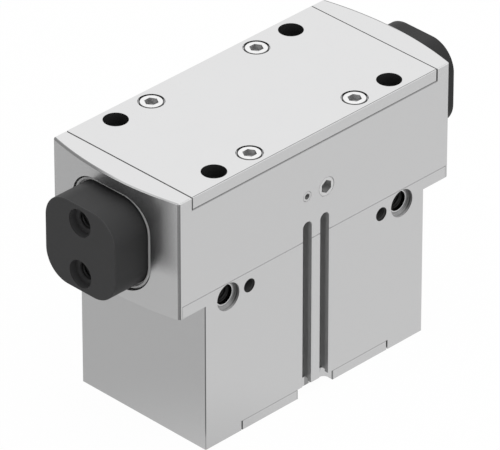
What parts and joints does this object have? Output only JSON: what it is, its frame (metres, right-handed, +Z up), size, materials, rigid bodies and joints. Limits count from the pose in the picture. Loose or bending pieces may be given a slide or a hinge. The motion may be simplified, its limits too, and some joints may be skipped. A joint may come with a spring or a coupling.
{
  "type": "sealed parallel gripper",
  "caption": "Pneumatic parallel gripper with a T-shaped light metal housing; dark rounded-square jaws slide out of sealed, bulged end faces, driven by a wedge hook on a piston.",
  "frame": {"origin": "middle of the underside of the cylinder body", "axes": "+X along the jaws' travel, toward the right jaw; -Y out of the front face with the sensor slots; +Z up, out of the cover plate"},
  "size_m": [0.1642, 0.0606, 0.1041],
  "materials": {
    "anodised_aluminium": "fine satin, clear anodised",
    "screw_steel": "bright zinc",
    "dark_jaw_steel": "hardened and blackened, matt",
    "seal_frame_steel": "satin stainless",
    "black_rubber": "matt",
    "hardened_steel": "ground",
    "piston_aluminium": "turned",
    "magnet": "matt sintered",
    "bronze": "turned",
    "wear_plastic": "matt"
  },
  "bodies": {
    "gripper_body": {"upper_housing": "anodised_aluminium", "cover_plate": "anodised_aluminium", "cover_screws": "screw_steel", "cylinder_body": "anodised_aluminium", "bottom_plate": "anodised_aluminium", "bottom_plate_screws": "screw_steel", "flange_screws": "screw_steel", "dowel_pins": "hardened_steel", "housing_seal": "black_rubber", "bottom_seal": "black_rubber", "large_plug": "screw_steel", "small_plug": "screw_steel", "seal_frame_left": "seal_frame_steel", "seal_frame_right": "seal_frame_steel", "jaw_wiper_left": "black_rubber", "jaw_wiper_right": "black_rubber", "seal_cushion_left": "black_rubber", "seal_cushion_right": "black_rubber", "upper_bumper": "black_rubber", "rod_bush": "bronze", "rod_seal": "black_rubber", "rod_gland": "bronze"},
    "piston": {"piston_rod": "hardened_steel", "piston_base": "piston_aluminium", "piston_crown": "piston_aluminium", "piston_magnet": "magnet", "piston_seals": "black_rubber", "wear_band": "wear_plastic", "piston_bolt": "hardened_steel", "lower_bumper": "black_rubber", "wedge_hook": "hardened_steel"},
    "left_jaw": {"jaw_left": "dark_jaw_steel"},
    "right_jaw": {"jaw_right": "dark_jaw_steel"}
  },
  "joints": [
    {"name": "piston_stroke", "type": "slide", "parent": "gripper_body", "child": "piston", "axis": [0, 0, 1], "range_m": [0, 0.016]},
    {"name": "left_jaw_slide", "type": "slide", "parent": "gripper_body", "child": "left_jaw", "axis": [1, 0, 0], "range_m": [0, 0.012]},
    {"name": "right_jaw_slide", "type": "slide", "parent": "gripper_body", "child": "right_jaw", "axis": [-1, 0, 0], "range_m": [0, 0.012]}
  ],
  "couplings": [
    {"joint": "left_jaw_slide", "follows": "piston_stroke", "ratio": 0.75},
    {"joint": "right_jaw_slide", "follows": "piston_stroke", "ratio": 0.75}
  ]
}
